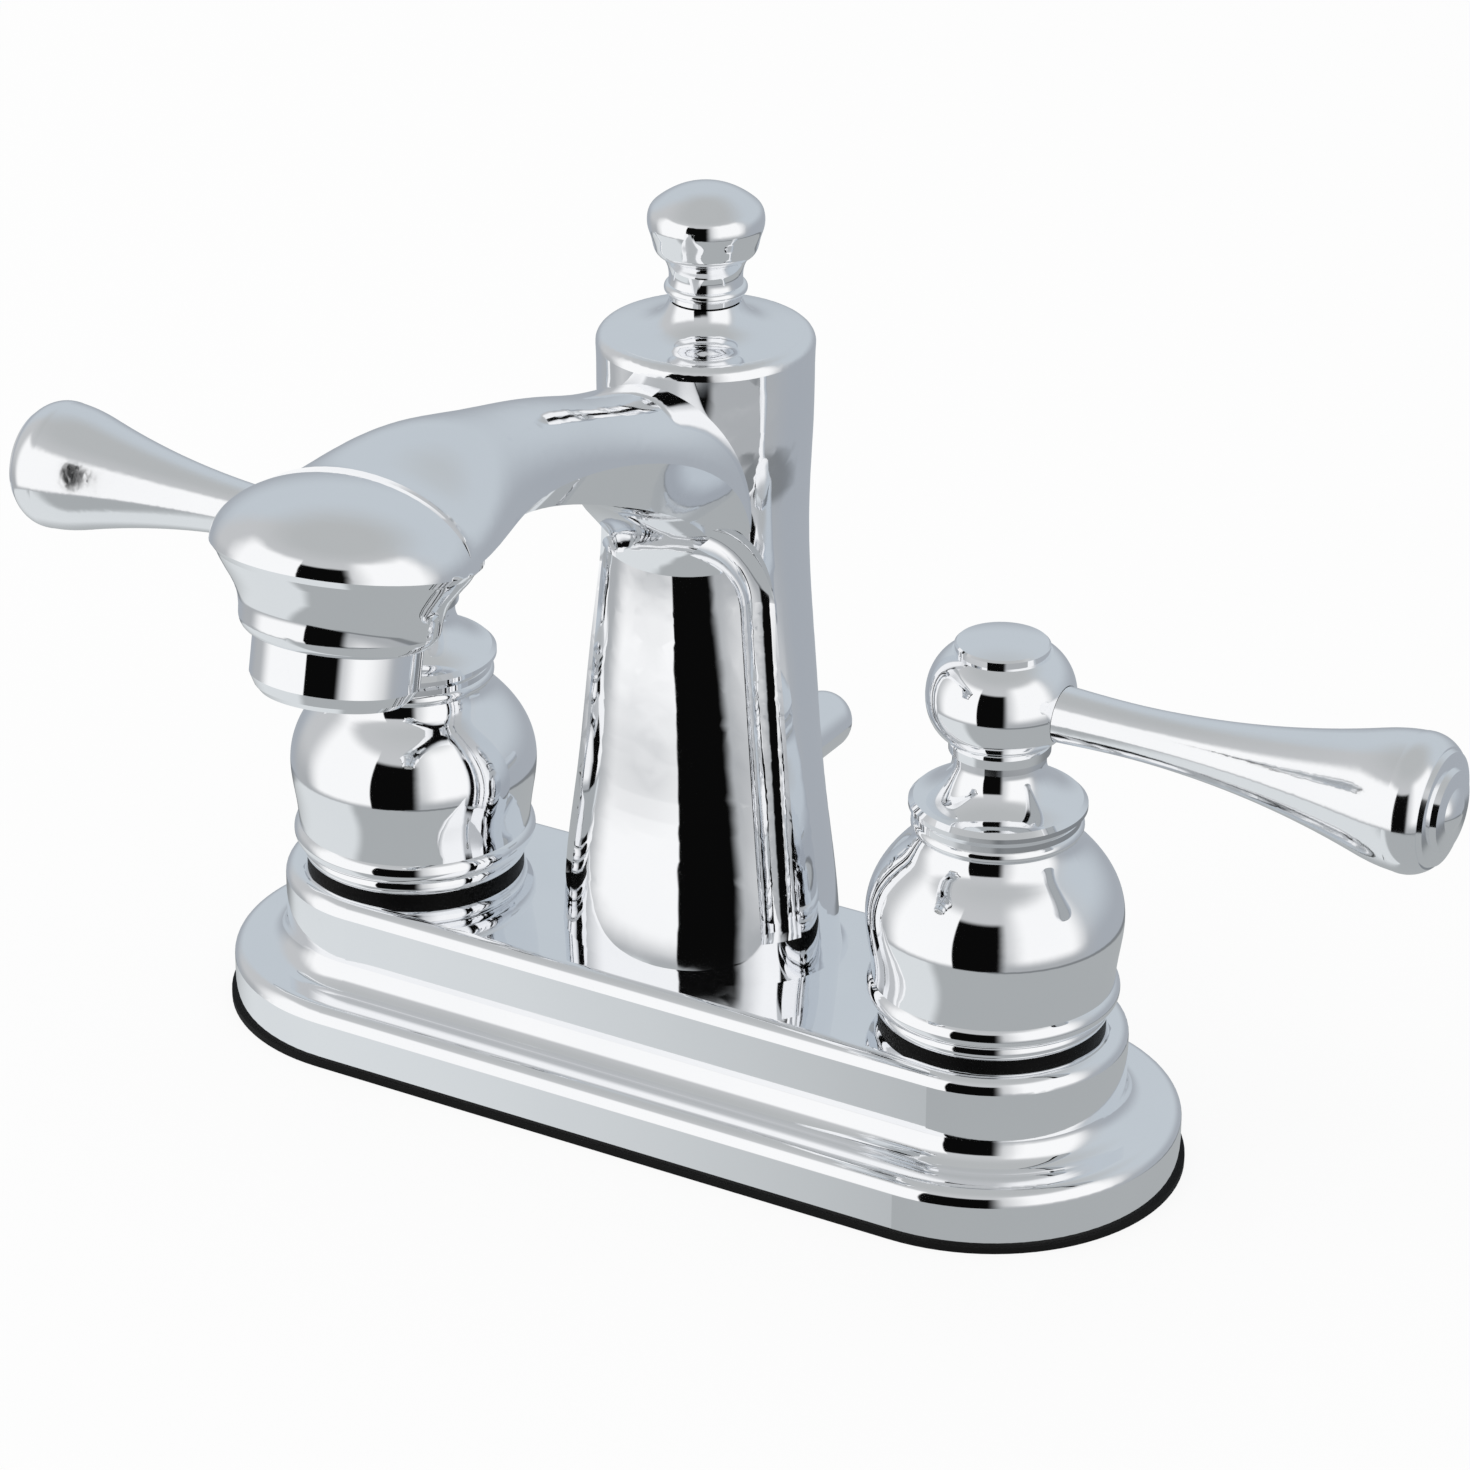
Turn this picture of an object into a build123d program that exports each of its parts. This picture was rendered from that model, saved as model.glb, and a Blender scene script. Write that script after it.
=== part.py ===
from build123d import *
from math import atan, cos, radians, sin, tan
import os

# Centerset bathroom faucet in millimetres, +Z up.
# The origin is the middle of the deck plane, under the gasket.
# +X is the cold side and the spout points along -Y.

os.makedirs("parts", exist_ok=True)

# Whole fitting
handle_centres = 101.6
fit_clearance = 0.05
loose_clearance = 0.3
half_centres = handle_centres / 2

# Deck gasket and base plate
plate_centres = 100.4
gasket_half_width = 29.9
gasket_rim = 7.5
gasket_thickness = 1.0
plate_half_width = 29.2
plate_step_height = 8.6
plate_height = 22.4
platform_half_width = 20.3
plate_wall = 2.3
plate_cove = 3.7
platform_rounding = 2.4
step_rounding = 2.4

# Column of the spout body
column_top = 121.2
rim_radius = 16.2
rim_rounding = 1.8
crown_height = 4.7
crown_dome = 1.1
crown_neck_radius = 5.3
crown_foot_radius = 8.8
rod_offset = 2.3
foot_half_width = 22.5
foot_half_depth = 17.2
foot_offset = 1.8
waist_height = 92.0
waist_radius = 15.3

# Flute down each side of the column's front panel
flute_radius = 3.2
flute_foot = 30.0

# Spout arm and its bell-shaped head
arm_root = 91.0
head_reach = 91.0
head_height = 122.0
outlet_tilt = 12.0
head_radius = 18.2
dome_height = 9.8
underside_share = 0.8
collar_radius = 17.3
collar_length = 11.8
collar_mouth_radius = 12.5
waterway_radius = 3.4
waterway_offset = 9.0
spigot_wall = 1.9
seal_width = 1.7
boss_wall = 2.6

# Aerator
aerator_radius = 11.4
aerator_tip_radius = 10.6
aerator_length = 7.9
aerator_thread_radius = 10.5
aerator_thread_length = 5.0
aerator_bore = 9.1
aerator_band = 5.6
aerator_lip = 0.8
screen_thickness = 3.5
screen_pitch = 2.4
screen_hole_radius = 0.8
seal_thickness = 1.0

# Lift rod and knob
rod_radius = 2.5
rod_drop = 95.0
guide_depth = 14.0
knob_base_radius = 5.3
knob_radius = 8.5
knob_height = 17.0
knob_dome = 5.2
rod_grip = 4.5

# Rear plug of the casting and the screws that hold it to the plate
plug_radius = 4.7
plug_height = 43.0
plug_seat = 20.0
plug_reach = 38.6
plug_spigot = 5.0
screw_spacing = 24.0
screw_radius = 2.5
screw_depth = 9.0
screw_head_radius = 4.2
screw_head = 2.5

# Handle: bell, hub, lever and cap
bell_foot = 24.8
bell_top = 57.6
bell_radius = 19.05
bell_wall = 1.7
ring_radius = 16.9
ring_wall = 1.5
hub_gap = 0.3
flange_radius = 13.1
neck_radius = 6.85
sleeve_radius = 7.6
sleeve_length = 4.9
ball_radius = 10.95
lever_height = 75.2
ball_rise = 7.7
cap_radius = 6.95
cap_rim = 1.4
cap_dome = 0.9
cap_spigot_radius = 4.65
cap_spigot = 4.9
lever_seat = 9.4
lever_length = 71.6
lever_root_radius = 4.2
lever_waist_radius = 3.9
lever_bulb_radius = 10.1
lever_spigot_radius = 3.0
lever_spigot = 4.0

# Valves and water inlets under the bells
tower_radius = 12.3
tower_top = 34.0
tower_flange_radius = 15.5
tower_flange = 4.0
tower_foot = 5.0
tower_floor = 12.0
tower_web = 2.0
cartridge_radius = 9.5
cartridge_top = 47.0
cartridge_collar_radius = 11.0
cartridge_neck_radius = 7.5
collar_thickness = 2.0
inlet_radius = 4.5
bonnet_radius = 14.0
bonnet_grip = 5.5
bonnet_crown = 2.0
stem_radius = 4.0
spline_radius = 4.2
spline_teeth = 12
tooth_depth = 0.5
tooth_width = 1.1
stem_foot = 30.0
handle_screw_radius = 2.0
handle_screw_depth = 11.0
handle_screw_head_radius = 3.6
handle_screw_head = 2.8
shank_radius = 10.4
shank_bore = 7.0
shank_drop = 50.0
shank_relief = 0.7
shank_relief_width = 1.5
deck_thickness = 20.0
mounting_nut_width = 36.0
body_nut_width = 26.0
body_nut_height = 3.5
gallery_radius = 5.5
gallery_bore = 3.0
gallery_height = 15.2
mounting_nut_height = 12.0
washer_radius = 22.0
washer_thickness = 2.0

plate_top = gasket_thickness + plate_height
plate_ceiling = plate_top - plate_wall
head_down = (0, -sin(radians(outlet_tilt)), -cos(radians(outlet_tilt)))
rod_axis = Axis((0, rod_offset, 0), (0, 0, 1))


def section_at(x):
    """Upright section plane through an upright axis at x, with local y up."""
    return Plane(origin=(x, 0, 0), x_dir=(1, 0, 0), z_dir=(0, -1, 0))


def upright_axis(x):
    return Axis((x, 0, 0), (0, 0, 1))


def along_head(depth):
    """A point of the outlet axis, this far below the rim of the spout head."""
    return (0, -head_reach + depth * head_down[1], head_height + depth * head_down[2])


spigot_radius = waterway_radius + spigot_wall
rod_hole_radius = rod_radius + 0.9
step_top = gasket_thickness + plate_step_height
crown_radius = rim_radius - rim_rounding
crown_top = column_top + crown_height
head_section = Plane(
    origin=(0, -head_reach, head_height),
    x_dir=(1, 0, 0),
    z_dir=(0, -cos(radians(outlet_tilt)), sin(radians(outlet_tilt))),
)
head_axis = Axis((0, -head_reach, head_height), head_down)
# The arm is drawn for a reach of 91 and a lift of 31, and its curve follows the head from there.
reach_ratio = head_reach / 91
lift_ratio = (head_height - arm_root) / 31
waterway_turn = arm_root + 13 * lift_ratio
aerator_seat_radius = aerator_thread_radius + fit_clearance
aerator_seat_depth = aerator_thread_length + seal_thickness
aerator_foot = -collar_length - aerator_length
outlet_cavity_radius = 8.5
plug_spigot_radius = plug_radius - 1.7
knob_seat = crown_top + loose_clearance
boss_top = plate_ceiling - 0.4
spigot_foot = gallery_height + gallery_bore + 0.2
seal_foot = spigot_foot + 0.7
hub_foot = bell_top + hub_gap
bell_height = bell_top - bell_foot
bell_bore = ring_radius - ring_wall + 0.6
bell_mouth = sleeve_radius + 0.7
neck_height = lever_height - 9.2
ball_top = lever_height + ball_rise
stem_top = lever_height - 7.2
spline_foot = cartridge_top + 3
screw_seat = stem_top + 6
bonnet_top = tower_top + collar_thickness + bonnet_crown
nut_foot = -deck_thickness - washer_thickness - mounting_nut_height


# Deck gasket: a flat rubber ring round the foot of the plate
with BuildPart() as deck_gasket:
    with BuildSketch():
        SlotCenterToCenter(plate_centres, 2 * gasket_half_width)
        SlotCenterToCenter(plate_centres, 2 * (gasket_half_width - gasket_rim), mode=Mode.SUBTRACT)
    extrude(amount=gasket_thickness)
deck_gasket.part.label = "deck_gasket"
export_step(deck_gasket.part, "parts/deck_gasket.step")

# Base plate: a stepped shell with a cove between its two tiers
with BuildPart() as base_plate:
    with BuildSketch(Plane.XY.offset(gasket_thickness)):
        SlotCenterToCenter(plate_centres, 2 * plate_half_width)
    extrude(amount=plate_step_height)
    fillet(base_plate.edges().group_by(Axis.Z)[-1], step_rounding)
    with BuildSketch(Plane.XY.offset(step_top)):
        SlotCenterToCenter(handle_centres, 2 * platform_half_width)
    extrude(amount=plate_height - plate_step_height)
    cove_edges = base_plate.edges(Select.LAST).group_by(Axis.Z)[0]
    fillet(base_plate.edges().group_by(Axis.Z)[-1], platform_rounding)
    fillet(cove_edges, plate_cove)
    with BuildSketch(Plane.XY.offset(gasket_thickness)):
        SlotCenterToCenter(plate_centres, 2 * (plate_half_width - plate_wall))
    extrude(amount=plate_step_height - plate_wall, mode=Mode.SUBTRACT)
    with BuildSketch(Plane.XY.offset(gasket_thickness)):
        SlotCenterToCenter(handle_centres, 2 * (platform_half_width - plate_wall))
    extrude(amount=plate_height - plate_wall, mode=Mode.SUBTRACT)
    with BuildSketch(Plane.XY.offset(plate_ceiling)):
        with GridLocations(handle_centres, 0, 2, 1):
            Circle(tower_radius + loose_clearance)
        with Locations((0, -waterway_offset)):
            Circle(spigot_radius + loose_clearance)
        with Locations((0, rod_offset)):
            Circle(rod_hole_radius)
            with GridLocations(screw_spacing, 0, 2, 1):
                Circle(screw_radius + fit_clearance)
    extrude(amount=plate_wall, mode=Mode.SUBTRACT)
base_plate.part.label = "base_plate"
export_step(base_plate.part, "parts/base_plate.step")

# Spout body: one casting with column, arm and bell-shaped head.
# Column stations: height, half width, half depth, centre along Y.
column_stations = (
    (plate_top, foot_half_width, foot_half_depth, foot_offset),
    (30.0, 22.0, 16.7, 1.5),
    (40.0, 21.0, 15.8, 1.4),
    (50.0, 19.6, 15.2, 1.4),
    (64.0, 18.1, 14.9, 1.5),
    (78.0, 16.5, 14.9, 1.9),
    (waist_height, waist_radius, waist_radius, rod_offset),
    (108.0, 15.8, 15.8, rod_offset),
    (column_top, rim_radius, rim_radius, rod_offset),
)
# Arm stations: distance out, lift, rise in degrees, half width, height above and below
# the widest line, and how far the corners of the underside lie above its middle.
arm_stations = (
    (4.5, 0.0, 74.0, 12.4, 11.0, 9.2, 3.2),
    (8.0, 7.8, 58.0, 12.9, 11.0, 8.8, 2.4),
    (14.5, 15.5, 41.0, 12.2, 11.5, 8.9, 1.6),
    (24.0, 20.8, 26.0, 10.4, 8.6, 8.0, 0.8),
    (36.0, 24.6, 17.0, 9.2, 8.0, 6.4, 0.5),
    (51.0, 27.8, 12.0, 9.6, 9.2, 4.1, 0.4),
    (66.0, 29.8, 10.0, 12.3, 10.7, 2.2, 0.3),
    (79.0, 30.4, 11.0, 15.9, 10.7, 1.1, 0.2),
)
arm_sections = [
    (
        out * reach_ratio,
        arm_root + lift * lift_ratio,
        atan(tan(radians(rise)) * lift_ratio / reach_ratio),
        *section,
    )
    for out, lift, rise, *section in arm_stations
]
arm_sections.append(
    (head_reach - 2.5, head_height + 0.2, radians(outlet_tilt), head_radius - 0.4, dome_height - 0.3, 1.0, 0.1)
)
flute_foot_point = (18.9, -6.9)
flute_bend_point = (14.7, -6.3, 83.0)
flute_end_point = (8.6, -13.6, 95.5)
with BuildPart() as spout_body:
    for height, half_width, half_depth, centre_y in column_stations:
        with BuildSketch(Plane.XY.offset(height)):
            with Locations((0, centre_y)):
                Ellipse(half_width, half_depth)
    loft()
    fillet(spout_body.edges().group_by(Axis.Z)[-1], rim_rounding)
    with BuildSketch(Plane(origin=(0, rod_offset, 0), x_dir=(1, 0, 0), z_dir=(0, -1, 0))):
        with BuildLine():
            crown_line = Polyline(
                (crown_neck_radius, crown_top),
                (0, crown_top),
                (0, column_top - 1),
                (crown_radius, column_top - 1),
                (crown_radius, column_top),
            )
            Spline(
                crown_line @ 0,
                (crown_foot_radius, column_top + crown_dome),
                crown_line @ 1,
                tangents=((0.35, -1), (1, -0.25)),
            )
        make_face()
    revolve(axis=rod_axis)
    for out, height, rise_angle, half_width, above, below, corner_rise in arm_sections:
        rise_dir = (0, -cos(rise_angle), sin(rise_angle))
        flat_half_width = underside_share * half_width
        with BuildSketch(Plane(origin=(0, -out, height), x_dir=(1, 0, 0), z_dir=rise_dir)):
            with BuildLine():
                EllipticalCenterArc((0, 0), half_width, above, start_angle=0, arc_size=180)
                Line((-half_width, 0), (-flat_half_width, corner_rise - below))
                ThreePointArc(
                    (-flat_half_width, corner_rise - below),
                    (0, -below),
                    (flat_half_width, corner_rise - below),
                )
                Line((flat_half_width, corner_rise - below), (half_width, 0))
            make_face()
    loft()
    # Dome and collar of the head, turned about the outlet axis
    with BuildSketch(head_section):
        with BuildLine():
            EllipticalCenterArc((0, 0), head_radius, dome_height, start_angle=90, arc_size=-90)
            Line((0, dome_height), (0, -collar_length))
            Line((0, -collar_length), (collar_mouth_radius - 1, -collar_length))
            ThreePointArc(
                (collar_mouth_radius - 1, -collar_length),
                (collar_mouth_radius + 0.2, -collar_length + 0.6),
                (collar_mouth_radius + 1.0, -collar_length + 2.2),
            )
            Spline(
                (collar_mouth_radius + 1.0, -collar_length + 2.2),
                (0.72 * collar_mouth_radius + 0.28 * collar_radius + 0.4, -0.5 * collar_length),
                (collar_radius, -1.0),
                tangents=((0.02, 1), (0.5, 1)),
            )
            Line((collar_radius, -1.0), (head_radius, 0))
        make_face()
    revolve(axis=head_axis)
    # Boss for the rear plug
    with BuildSketch(Plane(origin=(0, rod_offset, plug_height), x_dir=(1, 0, 0), z_dir=(0, 1, 0))):
        Circle(plug_radius + 1)
    extrude(amount=plug_seat - rod_offset)
    # A flute down each side of the front panel, with a flat ledge at its foot
    for side in (-1, 1):
        foot_x, foot_y = flute_foot_point
        bend_x, bend_y, bend_z = flute_bend_point
        end_x, end_y, end_z = flute_end_point
        with BuildLine() as flute_line:
            flute_run = Line((side * foot_x, foot_y, flute_foot), (side * bend_x, bend_y, bend_z))
            TangentArc(flute_run @ 1, (side * end_x, end_y, end_z), tangent=flute_run % 1)
        with BuildSketch(Plane(origin=flute_line.line @ 0, z_dir=(0, 0, 1))):
            Circle(flute_radius)
        sweep(path=flute_line.line, mode=Mode.SUBTRACT)
    # Spigot under the foot, and the waterway from it to the outlet
    with BuildSketch(Plane.XY.offset(spigot_foot)):
        with Locations((0, -waterway_offset)):
            Circle(spigot_radius)
    extrude(amount=plate_top - spigot_foot)
    with BuildLine() as waterway_line:
        FilletPolyline(
            (0, -waterway_offset, spigot_foot),
            (0, 1.5 - waterway_offset, waterway_turn),
            (0, -0.4 * head_reach, 0.4 * waterway_turn + 0.6 * head_height),
            (0, -head_reach, head_height),
            along_head(collar_length),
            radius=(14, 30, 7),
        )
    with BuildSketch(Plane(origin=(0, -waterway_offset, spigot_foot), z_dir=waterway_line.line % 0)):
        Circle(waterway_radius)
    sweep(path=waterway_line.line, mode=Mode.SUBTRACT)
    with BuildSketch(head_section):
        with Locations((0, -collar_length)):
            Rectangle(aerator_seat_radius, aerator_seat_depth, align=Align.MIN)
        with Locations((0, aerator_seat_depth - collar_length)):
            Rectangle(outlet_cavity_radius, 5, align=Align.MIN)
    revolve(axis=head_axis, mode=Mode.SUBTRACT)
    # Lift rod guide, relieved below its upper end
    with BuildSketch(Plane.XY.offset(plate_top)):
        with Locations((0, rod_offset)):
            Circle(rod_hole_radius)
    extrude(amount=column_top - guide_depth - plate_top, mode=Mode.SUBTRACT)
    with BuildSketch(Plane.XY.offset(plate_top)):
        with Locations((0, rod_offset)):
            Circle(rod_radius + fit_clearance)
    extrude(amount=crown_top - plate_top, mode=Mode.SUBTRACT)
    # Blind holes for the rear plug and the two fixing screws
    with BuildSketch(Plane(origin=(0, plug_seat, plug_height), x_dir=(1, 0, 0), z_dir=(0, -1, 0))):
        Circle(plug_spigot_radius + fit_clearance)
    extrude(amount=plug_spigot + loose_clearance, mode=Mode.SUBTRACT)
    with BuildSketch(Plane.XY.offset(plate_top)):
        with Locations((0, rod_offset)):
            with GridLocations(screw_spacing, 0, 2, 1):
                Circle(screw_radius + fit_clearance)
    extrude(amount=screw_depth + loose_clearance, mode=Mode.SUBTRACT)
spout_body.part.label = "spout_body"
export_step(spout_body.part, "parts/spout_body.step")

# Rear plug: a domed stud closing the back of the casting
with BuildPart() as rear_plug:
    with BuildSketch(Plane.XY.offset(plug_height)):
        with BuildLine():
            Polyline(
                (0, plug_seat - plug_spigot),
                (plug_spigot_radius, plug_seat - plug_spigot),
                (plug_spigot_radius, plug_seat),
                (plug_radius, plug_seat),
                (plug_radius, plug_reach),
            )
            CenterArc((0, plug_reach), plug_radius, 0, 90)
            Line((0, plug_reach + plug_radius), (0, plug_seat - plug_spigot))
        make_face()
    revolve(axis=Axis((0, 0, plug_height), (0, 1, 0)))
rear_plug.part.label = "rear_plug"
export_step(rear_plug.part, "parts/rear_plug.step")

# Two screws that hold the column to the plate from below
with BuildPart() as spout_screws:
    with BuildSketch(Plane.XY.offset(plate_ceiling - screw_head)):
        with Locations((0, rod_offset)):
            with GridLocations(screw_spacing, 0, 2, 1):
                Circle(screw_head_radius)
    extrude(amount=screw_head)
    with BuildSketch(Plane.XY.offset(plate_ceiling)):
        with Locations((0, rod_offset)):
            with GridLocations(screw_spacing, 0, 2, 1):
                Circle(screw_radius)
    extrude(amount=plate_wall + screw_depth)
    with BuildSketch(Plane.XY.offset(plate_ceiling - screw_head)):
        with Locations((0, rod_offset)):
            with GridLocations(screw_spacing, 0, 2, 1):
                RegularPolygon(0.5 * screw_head_radius, 6)
    extrude(amount=0.6 * screw_head, mode=Mode.SUBTRACT)
spout_screws.part.label = "spout_screws"
export_step(spout_screws.part, "parts/spout_screws.step")

# Aerator washer, housing and insert, all turned about the outlet axis
with BuildPart() as aerator_washer:
    with BuildSketch(head_section):
        with Locations((aerator_bore, -collar_length + aerator_thread_length)):
            Rectangle(aerator_thread_radius - aerator_bore, seal_thickness, align=Align.MIN)
    revolve(axis=head_axis)
aerator_washer.part.label = "aerator_washer"
export_step(aerator_washer.part, "parts/aerator_washer.step")

with BuildPart() as aerator_housing:
    with BuildSketch(head_section):
        with BuildLine():
            Polyline(
                (aerator_bore, -collar_length + aerator_thread_length),
                (aerator_thread_radius, -collar_length + aerator_thread_length),
                (aerator_thread_radius, -collar_length),
                (aerator_radius, -collar_length),
                (aerator_radius, -collar_length - aerator_band),
                (aerator_tip_radius, aerator_foot + 0.8),
                (aerator_tip_radius - 0.8, aerator_foot),
                (aerator_bore - aerator_lip, aerator_foot),
                (aerator_bore - aerator_lip, aerator_foot + aerator_lip),
                (aerator_bore, aerator_foot + aerator_lip),
                close=True,
            )
        make_face()
    revolve(axis=head_axis)
aerator_housing.part.label = "aerator_housing"
export_step(aerator_housing.part, "parts/aerator_housing.step")

with BuildPart() as aerator_screen:
    with BuildSketch(head_section):
        with Locations((0, aerator_foot + aerator_lip)):
            Rectangle(aerator_bore - fit_clearance, screen_thickness, align=Align.MIN)
    revolve(axis=head_axis)
    with BuildSketch(Plane(origin=along_head(-aerator_foot - aerator_lip), z_dir=head_down)):
        with HexLocations(screen_pitch / 2, 7, 7):
            Circle(screen_hole_radius)
    extrude(amount=-screen_thickness, mode=Mode.SUBTRACT)
aerator_screen.part.label = "aerator_screen"
export_step(aerator_screen.part, "parts/aerator_screen.step")

# Lift rod and its knob
with BuildPart() as lift_rod:
    with BuildSketch(Plane.XY.offset(-rod_drop)):
        with Locations((0, rod_offset)):
            Circle(rod_radius)
    extrude(amount=rod_drop + knob_seat + rod_grip)
    chamfer(lift_rod.edges().group_by(Axis.Z)[0], 0.5)
lift_rod.part.label = "lift_rod"
export_step(lift_rod.part, "parts/lift_rod.step")

with BuildPart() as lift_knob:
    with BuildSketch(Plane(origin=(0, rod_offset, 0), x_dir=(1, 0, 0), z_dir=(0, -1, 0))):
        with BuildLine():
            Polyline(
                (0, knob_seat + knob_height),
                (0, knob_seat + rod_grip),
                (rod_radius + fit_clearance, knob_seat + rod_grip),
                (rod_radius + fit_clearance, knob_seat),
                (knob_base_radius, knob_seat),
                (knob_base_radius, knob_seat + 0.045 * knob_height),
            )
            ThreePointArc(
                (knob_base_radius, knob_seat + 0.045 * knob_height),
                (1.145 * knob_base_radius, knob_seat + 0.09 * knob_height),
                (1.03 * knob_base_radius, knob_seat + 0.14 * knob_height),
            )
            neck_line = Spline(
                (1.03 * knob_base_radius, knob_seat + 0.14 * knob_height),
                (1.02 * knob_base_radius, knob_seat + 0.24 * knob_height),
                (1.2 * knob_base_radius, knob_seat + 0.38 * knob_height),
                tangents=((-0.2, 1), (0.8, 1)),
            )
            ledge_line = Line(neck_line @ 1, (1.25 * knob_base_radius, knob_seat + 0.395 * knob_height))
            ball_line = Spline(
                ledge_line @ 1,
                (0.93 * knob_radius, knob_seat + 0.55 * knob_height),
                (knob_radius, knob_seat + knob_height - knob_dome),
                tangents=((1, 0.4), (0, 1)),
            )
            Spline(
                (0, knob_seat + knob_height),
                (0.5 * knob_radius, knob_seat + knob_height - 0.134 * knob_dome),
                (0.866 * knob_radius, knob_seat + knob_height - 0.5 * knob_dome),
                ball_line @ 1,
                tangents=((1, 0), (0, -1)),
            )
        make_face()
    revolve(axis=rod_axis)
lift_knob.part.label = "lift_knob"
export_step(lift_knob.part, "parts/lift_knob.step")

# Valve manifold: two towers, the gallery between them and the spout boss
with BuildPart() as valve_manifold:
    with BuildSketch(Plane.XY.offset(tower_foot)):
        with GridLocations(handle_centres, 0, 2, 1):
            Circle(tower_radius)
    extrude(amount=tower_top - tower_foot)
    with BuildSketch(Plane.XY.offset(plate_ceiling - tower_flange)):
        with GridLocations(handle_centres, 0, 2, 1):
            Circle(tower_flange_radius)
    extrude(amount=tower_flange)
    with BuildSketch(Plane(origin=(-half_centres, -waterway_offset, gallery_height), z_dir=(1, 0, 0))):
        Circle(gallery_radius)
    extrude(amount=handle_centres)
    with BuildSketch(Plane.XY.offset(gallery_height - gallery_radius)):
        with Locations((0, -waterway_offset)):
            Circle(spigot_radius + boss_wall)
    extrude(amount=boss_top - gallery_height + gallery_radius)
    with BuildSketch(Plane.XY.offset(tower_floor)):
        with GridLocations(handle_centres, 0, 2, 1):
            Circle(cartridge_radius + fit_clearance)
    extrude(amount=tower_top - tower_floor, mode=Mode.SUBTRACT)
    with BuildSketch(Plane.XY.offset(tower_foot)):
        with GridLocations(handle_centres, 0, 2, 1):
            Circle(shank_radius + fit_clearance)
    extrude(amount=tower_floor - tower_web - tower_foot, mode=Mode.SUBTRACT)
    with BuildSketch(Plane.XY.offset(tower_foot)):
        with GridLocations(handle_centres, 0, 2, 1):
            Circle(inlet_radius)
    extrude(amount=tower_floor - tower_foot, mode=Mode.SUBTRACT)
    with BuildSketch(Plane(origin=(-half_centres, -waterway_offset, gallery_height), z_dir=(1, 0, 0))):
        Circle(gallery_bore)
    extrude(amount=handle_centres, mode=Mode.SUBTRACT)
    with BuildSketch(Plane.XY.offset(gallery_height)):
        with Locations((0, -waterway_offset)):
            Circle(waterway_radius)
    extrude(amount=boss_top - gallery_height, mode=Mode.SUBTRACT)
    with BuildSketch(Plane.XY.offset(spigot_foot)):
        with Locations((0, -waterway_offset)):
            Circle(spigot_radius + fit_clearance)
    extrude(amount=boss_top - spigot_foot, mode=Mode.SUBTRACT)
    with BuildSketch(Plane.XY.offset(seal_foot)):
        with Locations((0, -waterway_offset)):
            Circle(spigot_radius + seal_width)
    extrude(amount=boss_top - seal_foot, mode=Mode.SUBTRACT)
valve_manifold.part.label = "valve_manifold"
export_step(valve_manifold.part, "parts/valve_manifold.step")

# Ring seal round the spigot, pressed against the underside of the plate
with BuildPart() as spout_seal:
    with BuildSketch(Plane.XY.offset(seal_foot)):
        with Locations((0, -waterway_offset)):
            Circle(spigot_radius + seal_width - fit_clearance)
            Circle(spigot_radius + fit_clearance, mode=Mode.SUBTRACT)
    extrude(amount=plate_ceiling - seal_foot)
spout_seal.part.label = "spout_seal"
export_step(spout_seal.part, "parts/spout_seal.step")


def spline_section(growth):
    """Toothed outline of the stem's upper end, larger by growth for the hub's socket."""
    with BuildSketch() as outline:
        Circle(spline_radius - tooth_depth + growth)
        with PolarLocations(0, spline_teeth):
            Rectangle(spline_radius + growth, tooth_width + 2 * growth, align=(Align.MIN, Align.CENTER))
    return outline.sketch


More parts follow.
